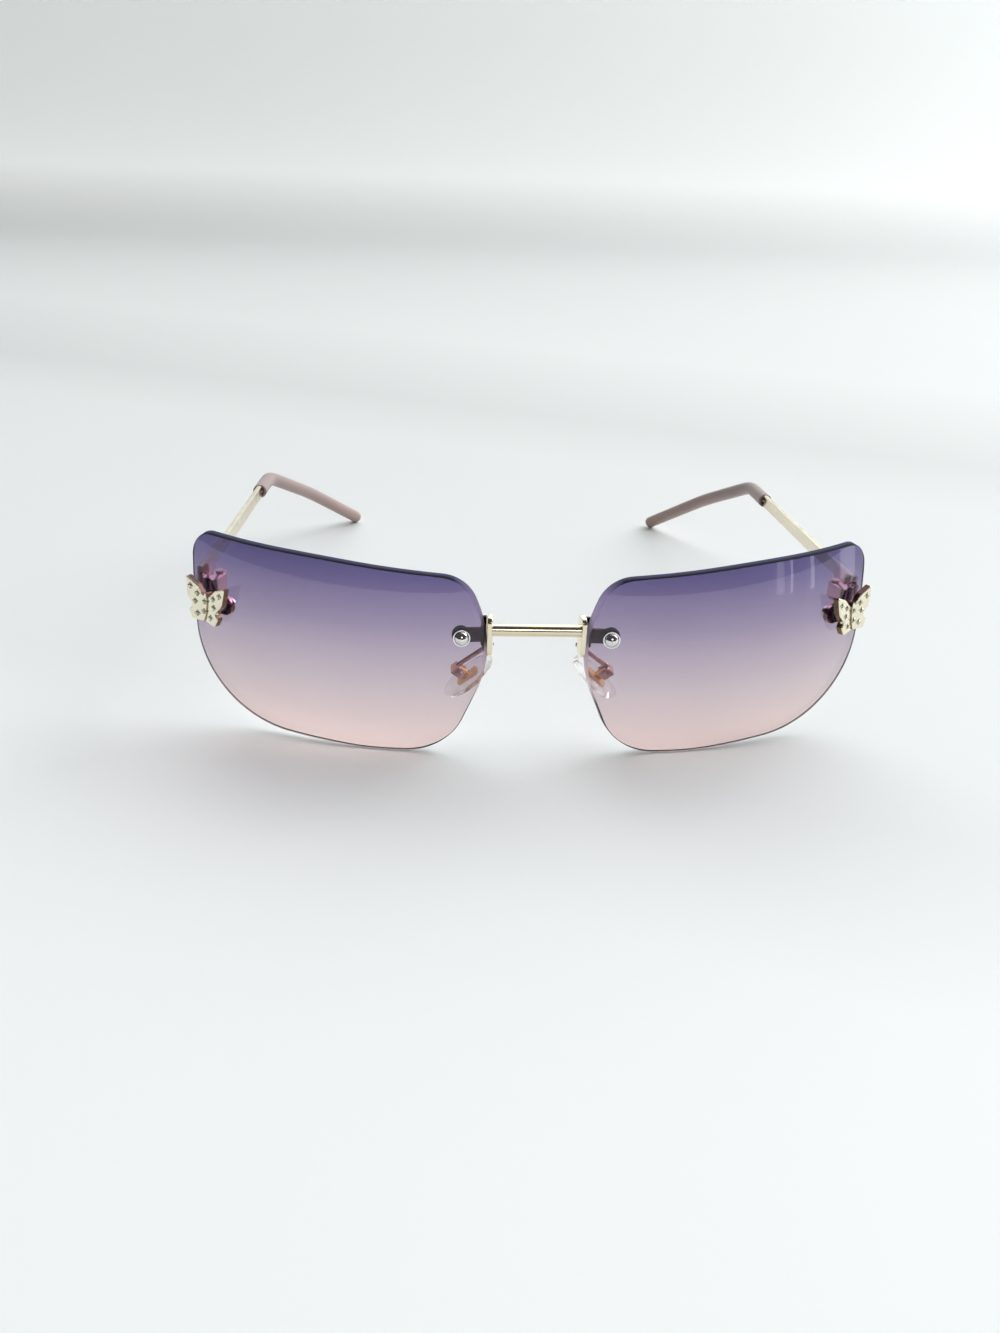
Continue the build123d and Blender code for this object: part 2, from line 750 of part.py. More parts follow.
# Temple tip: a soft round sleeve over the core wire
with BuildPart() as temple_tip:
    with BuildLine() as tip_line:
        FilletPolyline(
            tip_start,
            first_corner,
            second_corner,
            tip_end,
            radius=[first_bend_radius, second_bend_radius],
        )
    with BuildSketch(Plane(origin=tip_start, x_dir=(1, 0, 0), z_dir=temple_direction)):
        Circle(tip_radius)
    sweep(path=tip_line.line)
    fillet(faces().sort_by_distance(tip_end)[0].edges(), tip_end_radius)
    with BuildLine() as bore_line:
        FilletPolyline(tip_start, first_corner, core_end, radius=first_bend_radius)
    with BuildSketch(Plane(origin=tip_start, x_dir=(1, 0, 0), z_dir=temple_direction)):
        Circle(core_radius + sleeve_fit)
    sweep(path=bore_line.line, mode=Mode.SUBTRACT)
    with BuildSketch(Plane(origin=tip_start, x_dir=(1, 0, 0), z_dir=temple_direction)):
        Circle(tip_mouth_radius)
    extrude(amount=tip_mouth_depth, mode=Mode.SUBTRACT)
write_pair(temple_tip, "temple_tip")
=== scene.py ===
"""Butterfly sunglasses: materials, stage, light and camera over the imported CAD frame."""

import json
from math import cos, pi, radians, sin

import bmesh
import bpy
from mathutils import Matrix, Vector


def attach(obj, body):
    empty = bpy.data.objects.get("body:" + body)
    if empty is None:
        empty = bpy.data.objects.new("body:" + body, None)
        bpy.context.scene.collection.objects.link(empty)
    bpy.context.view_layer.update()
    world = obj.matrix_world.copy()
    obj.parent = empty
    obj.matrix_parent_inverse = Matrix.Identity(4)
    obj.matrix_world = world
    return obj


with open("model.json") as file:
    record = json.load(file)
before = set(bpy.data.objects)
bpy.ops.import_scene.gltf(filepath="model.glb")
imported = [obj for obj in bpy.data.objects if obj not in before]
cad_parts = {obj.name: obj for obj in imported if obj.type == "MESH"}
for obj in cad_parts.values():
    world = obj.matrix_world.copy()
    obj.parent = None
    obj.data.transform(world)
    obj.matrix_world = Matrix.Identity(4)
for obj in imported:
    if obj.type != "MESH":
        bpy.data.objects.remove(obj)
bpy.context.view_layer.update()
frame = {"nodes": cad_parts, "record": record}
nodes = frame["nodes"]

MM = 0.001

# The range that most of a noise texture's values lie in
NOISE_SPAN = (0.3, 0.7)

# The Mix node's colour sockets, which share their names with its other sockets
MIX_FIRST, MIX_SECOND, MIX_RESULT = 6, 7, 2

BEVEL_SAMPLES = 4


# Node helpers


def new_material(name):
    """A material with its tree, its Principled shader and its output."""
    material = bpy.data.materials.new(name)
    material.use_nodes = True
    tree = material.node_tree
    return material, tree, tree.nodes["Principled BSDF"], tree.nodes["Material Output"]


def feed(tree, socket, value):
    """Gives a socket a constant, or links it where the value is another socket."""
    if isinstance(value, bpy.types.NodeSocket):
        tree.links.new(value, socket)
    elif socket.type == "RGBA":
        socket.default_value = (*value, 1.0)
    else:
        socket.default_value = value


def number(tree, operation, first, second=0.0):
    """A number worked out from one or two others."""
    node = tree.nodes.new("ShaderNodeMath")
    node.operation = operation
    feed(tree, node.inputs[0], first)
    feed(tree, node.inputs[1], second)
    return node.outputs["Value"]


def vector_math(tree, operation, first, second=(0.0, 0.0, 0.0)):
    """The outputs of a vector operation: its Vector or its Value."""
    node = tree.nodes.new("ShaderNodeVectorMath")
    node.operation = operation
    feed(tree, node.inputs[0], first)
    feed(tree, node.inputs[1], second)
    return node.outputs


def object_place(tree):
    """The point's place in the row frame, in millimetres."""
    source = tree.nodes.new("ShaderNodeTexCoord").outputs["Object"]
    scaled = tree.nodes.new("ShaderNodeVectorMath")
    scaled.operation = "SCALE"
    scaled.inputs["Scale"].default_value = 1 / MM
    tree.links.new(source, scaled.inputs[0])
    return scaled.outputs["Vector"]


def axis_value(tree, vector, axis):
    """One coordinate of a place or a direction."""
    parts = tree.nodes.new("ShaderNodeSeparateXYZ")
    tree.links.new(vector, parts.inputs["Vector"])
    return parts.outputs[axis]


def from_middle(tree, place):
    """How far a place lies to either side of X = 0."""
    return number(tree, "ABSOLUTE", axis_value(tree, place, "X"))


def on_the_left(tree, vector, place):
    """A vector at a place of either half, mirrored to the left half."""
    sign = number(tree, "SIGN", axis_value(tree, place, "X"))
    joined = tree.nodes.new("ShaderNodeCombineXYZ")
    across = number(tree, "MULTIPLY", axis_value(tree, vector, "X"), sign)
    tree.links.new(across, joined.inputs["X"])
    for axis in "YZ":
        tree.links.new(axis_value(tree, vector, axis), joined.inputs[axis])
    return joined.outputs["Vector"]


def normal_on_the_left(tree, place):
    """The surface's normal at a place, mirrored to the left half."""
    normal = tree.nodes.new("ShaderNodeTexCoord").outputs["Normal"]
    return on_the_left(tree, normal, place)


def mapped(tree, value, low, high, new_low=0.0, new_high=1.0):
    """A value carried from one range to another, held at the ends."""
    node = tree.nodes.new("ShaderNodeMapRange")
    node.inputs["From Min"].default_value = low
    node.inputs["From Max"].default_value = high
    node.inputs["To Min"].default_value = new_low
    node.inputs["To Max"].default_value = new_high
    tree.links.new(value, node.inputs["Value"])
    return node.outputs["Result"]


def ramp(tree, value, stops):
    """A colour ramp from (position, colour) stops, colours linear."""
    node = tree.nodes.new("ShaderNodeValToRGB")
    elements = node.color_ramp.elements
    while len(elements) < len(stops):
        elements.new(0.5)
    for element, (position, colour) in zip(elements, stops):
        element.position = position
        element.color = (*colour, 1.0)
    tree.links.new(value, node.inputs["Fac"])
    return node.outputs["Color"]


def noise(tree, place, scale, detail=2.0, roughness=0.5):
    """Noise over a place in millimetres; scale is in features per millimetre."""
    node = tree.nodes.new("ShaderNodeTexNoise")
    node.inputs["Scale"].default_value = scale
    node.inputs["Detail"].default_value = detail
    node.inputs["Roughness"].default_value = roughness
    tree.links.new(place, node.inputs["Vector"])
    return node.outputs["Fac"]


def mixed(tree, factor, first, second):
    """Two colours mixed by a factor."""
    node = tree.nodes.new("ShaderNodeMix")
    node.data_type = "RGBA"
    feed(tree, node.inputs["Factor"], factor)
    feed(tree, node.inputs[MIX_FIRST], first)
    feed(tree, node.inputs[MIX_SECOND], second)
    return node.outputs[MIX_RESULT]


def bumped(tree, height, strength, distance_mm, rounding_mm=0.0):
    """A normal with bumps, on edges rounded by a bevel where rounding is given."""
    bump = tree.nodes.new("ShaderNodeBump")
    bump.inputs["Strength"].default_value = strength
    bump.inputs["Distance"].default_value = distance_mm * MM
    tree.links.new(height, bump.inputs["Height"])
    if rounding_mm:
        bevel = tree.nodes.new("ShaderNodeBevel")
        bevel.samples = BEVEL_SAMPLES
        bevel.inputs["Radius"].default_value = rounding_mm * MM
        tree.links.new(bevel.outputs["Normal"], bump.inputs["Normal"])
    return bump.outputs["Normal"]


def lit_through(tree, shader, output, tint):
    """Lets lamps through a clear shader, tinted, so that it casts a coloured shadow."""
    path = tree.nodes.new("ShaderNodeLightPath")
    clear = tree.nodes.new("ShaderNodeBsdfTransparent")
    feed(tree, clear.inputs["Color"], tint)
    choice = tree.nodes.new("ShaderNodeMixShader")
    tree.links.new(path.outputs["Is Shadow Ray"], choice.inputs["Fac"])
    tree.links.new(shader.outputs["BSDF"], choice.inputs[1])
    tree.links.new(clear.outputs["BSDF"], choice.inputs[2])
    tree.links.new(choice.outputs["Shader"], output.inputs["Surface"])


# Metals

FINE_GRAIN_SCALE = 9.0
GRAIN_MM = 0.02

# The way that the left butterfly faces, and the cosines at which its face ends and a side,
# painted with shade, begins
BUTTERFLY_FACING = (0.524, -0.843, 0.124)
SIDE_COSINES = (0.5, 0.2)

# The hinge blocks' painted ridges: their pitch in millimetres, and where the wave across them
# turns to painted shade
RIDGE_PITCH = 1.9
GROOVE_SHADE_WAVE = (-0.2, -0.9)

# Where the bridge plates, their flanges painted black and the tabs painted maroon, both as
# painted shade, end, in millimetres from X = 0, and how wide each change of colour is
PLATE_SIDE_X = 10.05
FLANGE_SIDE_X = 11.35
EYE_SIDE_X = 13.3
COLOUR_STEP = 0.1


def metal(name, tones, roughness, rounding_mm=0.08, grain=0.03, patch_scale=0.35):
    """Plated metal: two tones in soft patches, uneven polish, fine grain and rounded edges."""
    material, tree, shader, _ = new_material(name)
    place = object_place(tree)
    patches = noise(tree, place, patch_scale, detail=3.0)
    fine = noise(tree, place, FINE_GRAIN_SCALE, roughness=0.6)
    tree.links.new(mixed(tree, patches, *tones), shader.inputs["Base Color"])
    tree.links.new(mapped(tree, patches, *NOISE_SPAN, *roughness), shader.inputs["Roughness"])
    tree.links.new(bumped(tree, fine, grain, GRAIN_MM, rounding_mm), shader.inputs["Normal"])
    shader.inputs["Metallic"].default_value = 1.0
    return material


def metal_parts(material):
    """A metal's tree, its Principled shader and the socket that its colour comes from."""
    tree = material.node_tree
    shader = tree.nodes["Principled BSDF"]
    return tree, shader, shader.inputs["Base Color"].links[0].from_socket


def cast_gold_with_side_shade():
    """Cream gold casting, with brown painted shade on its sides."""
    material = metal(
        "butterfly_gold",
        ((0.90, 0.82, 0.62), (0.96, 0.91, 0.76)),
        (0.16, 0.32),
        rounding_mm=0.12,
        grain=0.075,
    )
    tree, shader, gold = metal_parts(material)
    # Brown painted shade on the side walls, darker than the gold because of how light falls on
    # them
    side_shade_brown = (0.30, 0.21, 0.12)
    normal = normal_on_the_left(tree, object_place(tree))
    same_way = vector_math(tree, "DOT_PRODUCT", normal, BUTTERFLY_FACING)["Value"]
    sides = mapped(tree, same_way, *SIDE_COSINES)
    tree.links.new(mixed(tree, sides, gold, side_shade_brown), shader.inputs["Base Color"])
    return material


def metal_with_painted_ridges():
    """Rose metal with upright ridges painted across it, with painted shade between them."""
    tones = ((0.96, 0.52, 0.48), (1.0, 0.66, 0.62))
    material = metal("hinge_metal", tones, (0.1, 0.2), rounding_mm=0.1)
    tree, shader, rose = metal_parts(material)
    # Dark wine between the painted ridges: painted shade in the grooves
    groove_shade_wine = (0.16, 0.03, 0.05)
    across = from_middle(tree, object_place(tree))
    wave = number(tree, "SINE", number(tree, "MULTIPLY", across, 2 * pi / RIDGE_PITCH))
    painted_groove_shade = mapped(tree, wave, *GROOVE_SHADE_WAVE)
    tree.links.new(mixed(tree, painted_groove_shade, rose, groove_shade_wine), shader.inputs["Base Color"])
    shader.inputs["Metallic"].default_value = 0.75
    return material


def bridge_plate_metal_and_shade():
    """Pale gold plate; the flange, tab and eye behind the lens are painted dark, as painted shade
    and painted dark reflection.
    """
    tones = ((0.88, 0.78, 0.58), (0.93, 0.86, 0.70))
    material = metal("bridge_plate_gold_and_shade", tones, (0.1, 0.2), rounding_mm=0.2)
    tree, shader, gold = metal_parts(material)
    # Black and maroon painted over the gold behind the lens: painted shade and painted dark
    # reflection
    shade_black, shade_maroon = (0.004, 0.003, 0.003), (0.09, 0.018, 0.034)
    across = from_middle(tree, object_place(tree))
    past_plate, past_flange, past_tab = (
        mapped(tree, across, side, side + COLOUR_STEP)
        for side in (PLATE_SIDE_X, FLANGE_SIDE_X, EYE_SIDE_X)
    )
    tab = mixed(tree, past_flange, shade_black, shade_maroon)
    dark = mixed(tree, past_tab, tab, shade_black)
    tree.links.new(mixed(tree, past_plate, gold, dark), shader.inputs["Base Color"])
    return material


def amber_core():
    """Amber lacquered metal inside the clear pad."""
    material = metal("pad_core", ((1.0, 0.50, 0.07), (1.0, 0.64, 0.20)), (0.2, 0.35))
    _, shader, _ = metal_parts(material)
    shader.inputs["Metallic"].default_value = 0.35
    return material


# Lens glass

# The left lens, in millimetres: the middle and outer radius of its ball, its thickness and top
LENS_BALL = (20.761, 14.422, 19.677)
LENS_RADIUS = 88.0
LENS_THICKNESS = 2.0
LENS_TOP = 43.0

# The cosines, between the normal and the ball's radius, at which a face ends and the wall begins
WALL_COSINES = (0.93, 0.8)

# Where the painted shade along the wall's rims begins and is full, in shares of the thickness
# from its middle
RIM_THICKNESS_SHARES = (0.06, 0.16)

# Beside the nose the wall is clear, then it is painted dark with shade, in millimetres from X = 0
CLEAR_WALL_X = (13.5, 17.0)

# Changes up and down the wall, in shares of the lens' height, from where each begins to where it
# is complete: upwards the wall turns solid between its rims, and downwards the clear stretch
# beside the nose turns to painted shade and the back rim's painted dark line shows
SOLID_WALL_SHARES = (0.3, 0.6)
NOSE_WALL_SHARES = (0.4, 0.3)
BACK_RIM_SHARES = (0.55, 0.4)

# Near black painted along the wall's rims: painted shade in place of the dark lines that
# refraction draws at the lens' edges
RIM_PAINTED_SHADE = (0.003, 0.004, 0.012)
WALL_ROUGHNESS = 0.95
SMUDGE_ROUGHNESS = 0.012
SMUDGE_SPAN = (0.55, 0.8)

# Colours from the lens' lower edge to its top: the glass, the middle of its wall with painted
# shade darkening it upwards, and its shadow
GLASS_TINTS = (
    (0.0, (0.84, 0.66, 0.63)),
    (0.15, (0.81, 0.65, 0.64)),
    (0.35, (0.68, 0.57, 0.61)),
    (0.55, (0.52, 0.435, 0.53)),
    (0.70, (0.36, 0.29, 0.44)),
    (0.83, (0.255, 0.20, 0.365)),
    (0.90, (0.185, 0.15, 0.32)),
    (1.0, (0.13, 0.115, 0.27)),
)
# The wall's colours: the glass's own tint low down, darkened upwards with painted shade
WALL_TINTS_AND_SHADE = (
    (0.0, (0.80, 0.70, 0.70)),
    (0.35, (0.50, 0.42, 0.48)),
    (0.55, (0.11, 0.10, 0.20)),
    (0.8, (0.055, 0.05, 0.14)),
    (1.0, (0.035, 0.035, 0.11)),
)
SHADOW_TINTS = (
    (0.0, (0.84, 0.825, 0.82)),
    (1.0, (0.50, 0.49, 0.51)),
)


def from_lens_ball(tree, place):
    """The point's place from the middle of its lens' ball, mirrored to the left half."""
    return vector_math(tree, "SUBTRACT", on_the_left(tree, place, place), LENS_BALL)["Vector"]


def lens_wall_share(tree, place):
    """1 on the lens' walls and bevels, 0 on its front and back."""
    outward = from_lens_ball(tree, place)
    normal = normal_on_the_left(tree, place)
    facing = vector_math(tree, "DOT_PRODUCT", outward, normal)["Value"]
    cosine = number(tree, "DIVIDE", number(tree, "ABSOLUTE", facing), LENS_RADIUS)
    return mapped(tree, cosine, *WALL_COSINES)


def lens_rim_share(tree, place, height):
    """1 near the rims of the lens' wall, where dark lines of shade are painted: the front rim all
    round, the back one low down.
    """
    from_ball = vector_math(tree, "LENGTH", from_lens_ball(tree, place))["Value"]
    depth = number(tree, "SUBTRACT", from_ball, LENS_RADIUS - LENS_THICKNESS / 2)
    begin, end = (share * LENS_THICKNESS for share in RIM_THICKNESS_SHARES)
    front_rim = mapped(tree, depth, begin, end)
    back_rim = mapped(tree, depth, -begin, -end)
    low_down = mapped(tree, height, *BACK_RIM_SHARES)
    return number(tree, "MAXIMUM", front_rim, number(tree, "MULTIPLY", back_rim, low_down))


def away_from_nose_share(tree, place, height):
    """0 on the stretch of the lens' wall beside the nose, 1 past it and low down, where the wall
    is painted with shade.
    """
    past_nose = mapped(tree, from_middle(tree, place), *CLEAR_WALL_X)
    return number(tree, "MAXIMUM", past_nose, mapped(tree, height, *NOSE_WALL_SHARES))


def lens_glass():
    """Graduated lens: indigo at the top, grey mauve in the middle, dusty pink at the bottom; its
    walls and rims carry painted shade.
    """
    material, tree, shader, output = new_material("graduated_lens")
    place = object_place(tree)
    height = mapped(tree, axis_value(tree, place, "Z"), 0.0, LENS_TOP)
    walls = lens_wall_share(tree, place)
    rims = lens_rim_share(tree, place, height)
    away_from_nose = away_from_nose_share(tree, place, height)

    tint = ramp(tree, height, GLASS_TINTS)
    # The wall's colour: its tint darkened with painted shade, and near black painted shade at its
    # rims
    wall_tint_and_shade = mixed(tree, rims, ramp(tree, height, WALL_TINTS_AND_SHADE), RIM_PAINTED_SHADE)
    wall_colour = mixed(tree, away_from_nose, tint, wall_tint_and_shade)
    tree.links.new(mixed(tree, walls, tint, wall_colour), shader.inputs["Base Color"])

    solid = number(tree, "MAXIMUM", rims, mapped(tree, height, *SOLID_WALL_SHARES))
    solid_wall = number(tree, "MULTIPLY", walls, number(tree, "MULTIPLY", solid, away_from_nose))
    clearness = mapped(tree, solid_wall, 0.0, 1.0, 1.0, 0.0)
    tree.links.new(clearness, shader.inputs["Transmission Weight"])

    cloud = noise(tree, place, scale=0.12, detail=3.0)
    smudge = mapped(tree, cloud, *SMUDGE_SPAN, 0.0, SMUDGE_ROUGHNESS)
    matt_wall = number(tree, "MULTIPLY", walls, WALL_ROUGHNESS)
    tree.links.new(number(tree, "MAXIMUM", smudge, matt_wall), shader.inputs["Roughness"])
    shader.inputs["IOR"].default_value = 1.5
    lit_through(tree, shader, output, ramp(tree, height, SHADOW_TINTS))
    return material


# Plastics and stones

# How much of its colour a clear plastic keeps in its clouds
FADED_SHARE = 0.9

# The soft tips: where they begin and end in Y, in millimetres, their colours along that run, with
# painted shade at the mouth, and the colour of their clouds
TIP_RUN = (16.0, 73.0)
TIP_TINTS_AND_MOUTH_SHADE = (
    # Darker over the first stretch from the mouth: painted shade where the strip goes in
    (0.0, (0.22, 0.15, 0.15)),
    (0.03, (0.33, 0.26, 0.25)),
    (0.3, (0.37, 0.285, 0.275)),
    (0.7, (0.42, 0.29, 0.265)),
    (0.97, (0.49, 0.32, 0.28)),
    (1.0, (0.70, 0.58, 0.54)),
)
TIP_CLOUD = (0.40, 0.31, 0.30)

# The stones' colours, from noise, in two greens and a cream
STONE_TINTS = (
    (0.35, (0.34, 0.38, 0.20)),
    (0.5, (0.62, 0.66, 0.46)),
    (0.65, (0.92, 0.93, 0.84)),
)


def clear_plastic(name, colour, roughness, ior, tint, clearness=1.0):
    """Clear plastic or silicone with faint clouding; clearness under 1 makes it milky."""
    material, tree, shader, output = new_material(name)
    cloud = noise(tree, object_place(tree), scale=0.5, detail=3.0)
    faded = tuple(FADED_SHARE * value for value in colour)
    tree.links.new(mixed(tree, cloud, colour, faded), shader.inputs["Base Color"])
    tree.links.new(mapped(tree, cloud, *NOISE_SPAN, *roughness), shader.inputs["Roughness"])
    shader.inputs["Transmission Weight"].default_value = clearness
    shader.inputs["IOR"].default_value = ior
    lit_through(tree, shader, output, tint)
    return material


def tip_plastic():
    """Soft translucent mauve sleeve, warmer towards its end, with painted shade at its mouth."""
    material, tree, shader, _ = new_material("tip_plastic")
    place = object_place(tree)
    along = ramp(tree, mapped(tree, axis_value(tree, place, "Y"), *TIP_RUN), TIP_TINTS_AND_MOUTH_SHADE)
    cloud = noise(tree, place, scale=0.7, detail=3.0)
    tree.links.new(mixed(tree, cloud, along, TIP_CLOUD), shader.inputs["Base Color"])
    polish = mapped(tree, cloud, *NOISE_SPAN, new_low=0.28, new_high=0.4)
    tree.links.new(polish, shader.inputs["Roughness"])
    shader.inputs["Subsurface Weight"].default_value = 0.5
    shader.inputs["Subsurface Scale"].default_value = 1.5 * MM
    shader.inputs["Subsurface Radius"].default_value = (1.0, 0.6, 0.6)
    shader.inputs["Transmission Weight"].default_value = 0.1
    normal = bumped(tree, cloud, strength=0.1, distance_mm=0.03)
    tree.links.new(normal, shader.inputs["Normal"])
    return material


def facetted_stone():
    """Brilliant stone on a bright foil: each facet mirrors another part of the room."""
    material, tree, shader, _ = new_material("facetted_stone")
    cloud = noise(tree, object_place(tree), scale=1.6)
    tree.links.new(ramp(tree, cloud, STONE_TINTS), shader.inputs["Base Color"])
    polish = mapped(tree, cloud, *NOISE_SPAN, new_low=0.02, new_high=0.06)
    tree.links.new(polish, shader.inputs["Roughness"])
    shader.inputs["Metallic"].default_value = 0.7
    shader.inputs["Coat Weight"].default_value = 1.0
    return material


# The material of each slot of the record, and of the pieces that differ from their slot's

MATERIALS = {
    "gold": metal("champagne_gold", ((0.80, 0.70, 0.49), (0.87, 0.79, 0.61)), (0.13, 0.22)),
    "dome_metal": metal("silver_dome", ((0.80, 0.79, 0.78), (0.88, 0.87, 0.86)), (0.05, 0.12)),
    "dark_metal": metal("dark_metal", ((0.03, 0.02, 0.02), (0.06, 0.04, 0.04)), (0.15, 0.3)),
    "screw_steel": metal("screw_steel", ((0.80, 0.50, 0.44), (0.86, 0.62, 0.56)), (0.15, 0.3)),
    "butterfly_gold": cast_gold_with_side_shade(),
    "hinge_metal": metal_with_painted_ridges(),
    "pad_core": amber_core(),
    "temple_metal": metal("temple_metal", ((0.84, 0.75, 0.56), (0.90, 0.83, 0.68)), (0.15, 0.28)),
    "tinted_lens": lens_glass(),
    "stone": facetted_stone(),
    "sleeve_plastic": clear_plastic(
        "clear_sleeve",
        colour=(0.95, 0.95, 0.95),
        roughness=(0.05, 0.11),
        ior=1.45,
        tint=(0.95, 0.95, 0.95),
    ),
    "pad_silicone": clear_plastic(
        "pad_silicone",
        colour=(0.97, 0.965, 0.95),
        roughness=(0.1, 0.16),
        ior=1.14,
        tint=(0.95, 0.94, 0.93),
        clearness=0.93,
    ),
    "tip_plastic": tip_plastic(),
}
SPECIAL_MATERIALS = {
    "bridge_plate": bridge_plate_metal_and_shade(),
    "endpiece_nut": metal(
        "nut_metal", ((0.93, 0.86, 0.84), (0.97, 0.92, 0.90)), (0.1, 0.2), rounding_mm=0.1
    ),
    # Patches from dark maroon to near white on the rose arm: painted reflection, dark and bright
    "pad_arm": metal(
        "rose_arm_painted_reflection",
        ((0.30, 0.07, 0.07), (1.0, 0.72, 0.66)),
        (0.08, 0.2),
        rounding_mm=0.1,
        patch_scale=0.8,
    ),
}


def material_of(node, slot):
    """The material of a node: its own, or its slot's."""
    piece = node.rsplit("_", 1)[0]
    return SPECIAL_MATERIALS.get(piece, MATERIALS[slot])


for entry in frame["record"]["subparts"]:
    mesh = nodes[entry["node"]].data
    mesh.materials.clear()
    mesh.materials.append(material_of(entry["node"], entry["material_slot"]))


# Butterflies: four small beads hold each stone

# The stones' settings, in millimetres
CROWN_HEIGHT = 0.28
BEADS_PER_STONE = 4
BEAD_RING_RADIUS = 0.55
BEAD_RADIUS = 0.17

# Vertices this close are one, and vertices this near to the table's plane are on it
WELD_MM = 0.001
LEVEL_MM = 0.01


def placed(name, data):
    """An object with this data, in the scene."""
    made = bpy.data.objects.new(name, data)
    bpy.context.scene.collection.objects.link(made)
    return made


def shade_smooth(mesh):
    """Shades all faces of a mesh smooth."""
    mesh.polygons.foreach_set("use_smooth", [True] * len(mesh.polygons))


def islands(shape):
    """The separate groups of joined vertices of a mesh."""
    left_over = set(shape.verts)
    groups = []
    while left_over:
        group, reach = set(), [left_over.pop()]
        while reach:
            vertex = reach.pop()
            if vertex not in group:
                group.add(vertex)
                reach.extend(edge.other_vert(vertex) for edge in vertex.link_edges)
        left_over -= group
        groups.append(group)
    return groups


def stone_places(node):
    """The middle of each stone's table and the way that it faces, from the stones' mesh."""
    shape = bmesh.new()
    shape.from_mesh(nodes[node].data)
    bmesh.ops.remove_doubles(shape, verts=shape.verts, dist=WELD_MM * MM)
    places = []
    for group in islands(shape):
        areas = {}
        for face in {face for vertex in group for face in vertex.link_faces}:
            normal = tuple(round(value, 2) for value in face.normal)
            areas[normal] = areas.get(normal, 0) + face.calc_area()
        # The largest facet is the flat foot, and the table faces the other way
        outward = -Vector(max(areas, key=areas.get)).normalized()
        heights = {vertex: vertex.co.dot(outward) for vertex in group}
        top = max(heights.values())
        table = [vertex.co for vertex in group if heights[vertex] > top - LEVEL_MM * MM]
        places.append((sum(table, Vector()) / len(table), outward))
    shape.free()
    return sorted(places, key=lambda place: tuple(place[0]))


def bead_trim(side):
    """Small beads between and around the stones of one butterfly."""
    trim = bmesh.new()
    for table, outward in stone_places(f"butterfly_stones_{side}"):
        across = outward.orthogonal().normalized()
        up = outward.cross(across)
        foot = table - outward * (CROWN_HEIGHT * MM)
        for turn in range(BEADS_PER_STONE):
            angle = radians(360 * (turn + 0.5) / BEADS_PER_STONE)
            place = foot + (across * cos(angle) + up * sin(angle)) * (BEAD_RING_RADIUS * MM)
            made = bmesh.ops.create_icosphere(trim, subdivisions=2, radius=BEAD_RADIUS * MM)
            bmesh.ops.translate(trim, verts=made["verts"], vec=place)
    mesh = bpy.data.meshes.new(f"butterfly_beads_{side}")
    trim.to_mesh(mesh)
    trim.free()
    shade_smooth(mesh)
    mesh.materials.append(MATERIALS["butterfly_gold"])
    beads = placed(f"butterfly_beads_{side}", mesh)
    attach(beads, "front")


for side in ("left", "right"):
    bead_trim(side)


# Stage: a pale sheet that runs back and curves up

# The sheet, in metres: half its width, its front edge, a row of points that keeps the floor's
# shading flat in front of it, where the bend begins, its radius and the top of the wall behind
SHEET_HALF_WIDTH = 3.0
SHEET_FRONT = -3.0
SHEET_FLAT_Y = 0.0
BEND_START = 0.90
BEND_RADIUS = 0.5
BEND_STEPS = 24
WALL_TOP = 0.62

# The paper's two tones, and how the room lights it: tints along a line over the floor that slants
# from the front left of the view to its back right, in millimetres
PAPER_TONES = ((0.83, 0.862, 0.868), (0.86, 0.885, 0.888))
LIGHT_SLANT = 0.4
LIGHT_RUN = (-200.0, 400.0)
LIGHT_TINTS = (
    (0.125, (1.0, 1.0, 1.0)),
    (0.215, (0.91, 0.91, 0.915)),
    (0.60, (0.90, 0.90, 0.895)),
    (0.72, (0.82, 0.82, 0.815)),
    (1.0, (0.94, 0.94, 0.935)),
)

# How the room looks past the sheet's edge, and how much its light lifts the sheet's wall
BACKDROP_TONE = (0.78, 0.82, 0.81)
GLOW_HEIGHT = 60.0
GLOW = 0.44


def sheet_profile():
    """The sheet's points in Y and Z, from its front edge to the top of its wall."""
    points = [(SHEET_FRONT, 0.0), (SHEET_FLAT_Y, 0.0), (BEND_START, 0.0)]
    for step in range(1, BEND_STEPS + 1):
        angle = radians(90 * step / BEND_STEPS)
        points.append((BEND_START + BEND_RADIUS * sin(angle), BEND_RADIUS * (1 - cos(angle))))
    points.append((BEND_START + BEND_RADIUS, WALL_TOP))
    return points


def paper():
    """Pale paper, tinted over the floor as the room lights it and glowing faintly up its wall."""
    material, tree, shader, _ = new_material("pale_sheet")
    place = object_place(tree)
    tone = mixed(tree, noise(tree, place, scale=0.004), *PAPER_TONES)
    slant = number(tree, "MULTIPLY", axis_value(tree, place, "X"), LIGHT_SLANT)
    along = number(tree, "ADD", axis_value(tree, place, "Y"), slant)
    light = ramp(tree, mapped(tree, along, *LIGHT_RUN), LIGHT_TINTS)
    colour = vector_math(tree, "MULTIPLY", tone, light)["Vector"]
    tree.links.new(colour, shader.inputs["Base Color"])
    shader.inputs["Roughness"].default_value = 0.7
    glow = mapped(tree, axis_value(tree, place, "Z"), 0.0, GLOW_HEIGHT, 0.0, GLOW)
    tree.links.new(glow, shader.inputs["Emission Strength"])
    shader.inputs["Emission Color"].default_value = (*BACKDROP_TONE, 1.0)
    return material


def pale_sheet():
    """The floor and the wall behind it, one curved sheet."""
    profile = sheet_profile()
    sides = (-SHEET_HALF_WIDTH, SHEET_HALF_WIDTH)
    vertices = [(x, y, z) for y, z in profile for x in sides]
    faces = [(2 * i, 2 * i + 1, 2 * i + 3, 2 * i + 2) for i in range(len(profile) - 1)]
    mesh = bpy.data.meshes.new("pale_sheet")
    mesh.from_pydata(vertices, [], faces)
    shade_smooth(mesh)
    mesh.materials.append(paper())
    sheet = placed("pale_sheet", mesh)


pale_sheet()


# Light

